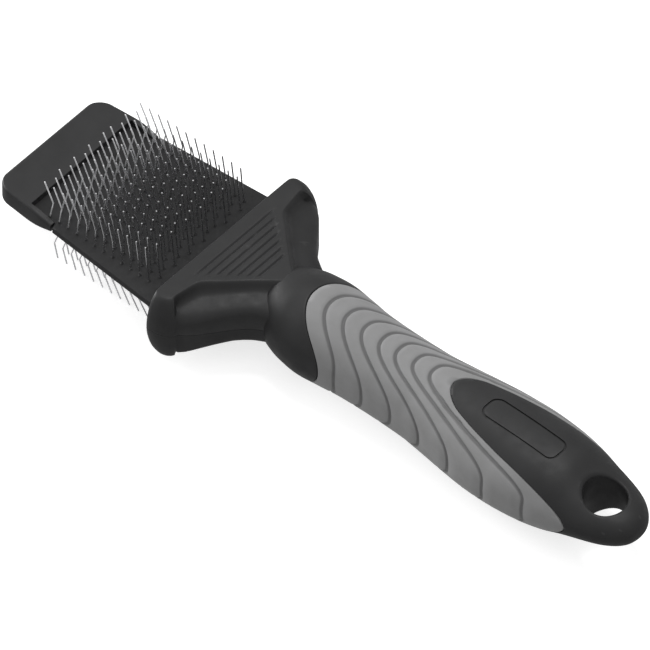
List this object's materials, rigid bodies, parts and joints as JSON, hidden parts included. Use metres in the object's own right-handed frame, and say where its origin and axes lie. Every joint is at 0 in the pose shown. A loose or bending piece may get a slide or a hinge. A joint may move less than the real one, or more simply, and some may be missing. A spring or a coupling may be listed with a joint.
{
  "type": "double-sided slicker brush",
  "caption": "Hand brush for long coats: thin flexible blade with bent wire pins on both faces, T-shaped yoke, oval handle with soft grip sleeve and hang hole.",
  "frame": {"origin": "centre of the bounding box, on the surface that the brush lies on", "axes": "+X along the brush from the end cap to the hang hole, +Y across the blade, +Z square to the blade's upper face"},
  "size_m": [0.2172, 0.0648, 0.0283],
  "materials": {
    "black_plastic": "satin moulded black plastic",
    "blade_plastic": "dull black flexible sheet",
    "grip_rubber": "matt mid-grey soft grip",
    "pin_steel": "bright drawn wire"
  },
  "bodies": {
    "handle": {"handle_core": "black_plastic", "grip_sleeve": "grip_rubber", "yoke_upper_shell": "black_plastic", "yoke_lower_shell": "black_plastic", "blade_root": "blade_plastic"},
    "blade": {"end_cap": "black_plastic", "upper_pin_sheet": "blade_plastic", "lower_pin_sheet": "blade_plastic", "upper_pin_row_01": "pin_steel", "upper_pin_row_02": "pin_steel", "upper_pin_row_03": "pin_steel", "upper_pin_row_04": "pin_steel", "upper_pin_row_05": "pin_steel", "upper_pin_row_06": "pin_steel", "upper_pin_row_07": "pin_steel", "upper_pin_row_08": "pin_steel", "upper_pin_row_09": "pin_steel", "upper_pin_row_10": "pin_steel", "upper_pin_row_11": "pin_steel", "upper_pin_row_12": "pin_steel", "upper_pin_row_13": "pin_steel", "upper_pin_row_14": "pin_steel", "lower_pin_row_01": "pin_steel", "lower_pin_row_02": "pin_steel", "lower_pin_row_03": "pin_steel", "lower_pin_row_04": "pin_steel", "lower_pin_row_05": "pin_steel", "lower_pin_row_06": "pin_steel", "lower_pin_row_07": "pin_steel", "lower_pin_row_08": "pin_steel", "lower_pin_row_09": "pin_steel", "lower_pin_row_10": "pin_steel", "lower_pin_row_11": "pin_steel", "lower_pin_row_12": "pin_steel", "lower_pin_row_13": "pin_steel", "lower_pin_row_14": "pin_steel"}
  },
  "joints": [
    {"name": "blade_flex", "type": "hinge", "parent": "handle", "child": "blade", "pos_m": [-0.0466, 0, 0.0144], "axis": [0, 1, 0], "range_deg": [-8, 8], "stiffness_Nm_per_rad": 0.5}
  ]
}
